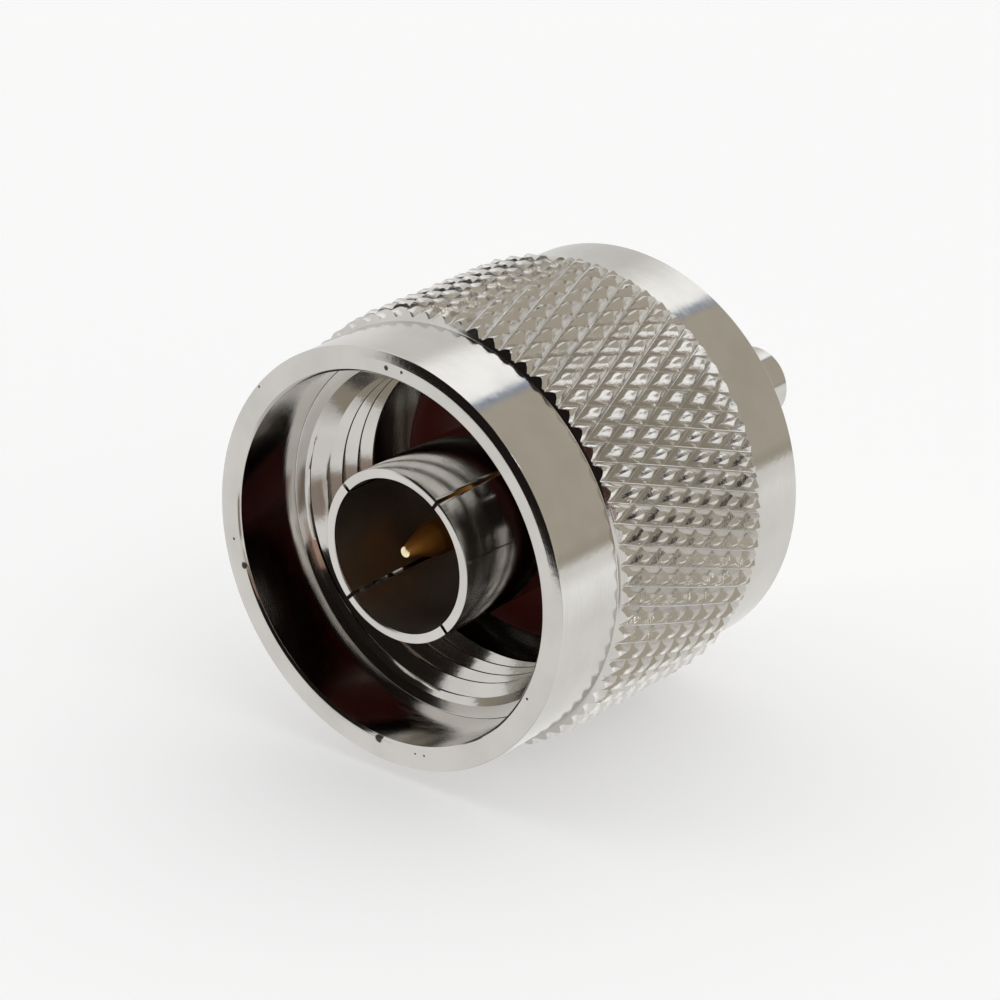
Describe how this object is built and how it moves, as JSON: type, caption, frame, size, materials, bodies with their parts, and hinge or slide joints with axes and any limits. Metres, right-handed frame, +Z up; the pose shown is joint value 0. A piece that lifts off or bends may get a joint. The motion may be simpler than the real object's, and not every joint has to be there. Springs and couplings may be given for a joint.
{
  "type": "coaxial adapter",
  "caption": "Coaxial adapter: a screw-coupled plug with knurled nut, slotted outer contact and pin at one end, and a small push-on jack at the other.",
  "frame": {"origin": "centre of the outer contact's tip face, the reference plane of the screw-coupled plug", "axes": "Y along the connector, with the plug's open end towards -Y and the push-on jack towards +Y; +Z up with the adapter lying level"},
  "size_m": [0.0208, 0.0279, 0.0208],
  "materials": {
    "nickel_plate": "bright nickel plate on brass",
    "contact_plate": "bright nickel plate on phosphor bronze",
    "spring_bronze": "plain phosphor bronze strip",
    "gold_plate": "gold plate, slightly satin",
    "white_ptfe": "turned PTFE",
    "red_silicone": "smooth red silicone"
  },
  "bodies": {
    "body": {"adapter_body": "nickel_plate", "outer_contact": "contact_plate", "gasket": "red_silicone", "front_insulator": "white_ptfe", "centre_pin": "gold_plate", "rear_insulator": "white_ptfe", "rear_socket": "gold_plate", "jack_shell": "nickel_plate"},
    "ring": {"snap_ring": "spring_bronze"},
    "nut": {"coupling_nut": "nickel_plate"}
  },
  "joints": [
    {"name": "nut_play", "type": "slide", "parent": "body", "child": "ring", "axis": [0, 1, 0], "range_m": [-0.0002, 0.0002]},
    {"name": "nut_turn", "type": "hinge", "parent": "ring", "child": "nut", "pos_m": [0, 0, 0], "axis": [0, 1, 0], "continuous": true}
  ]
}
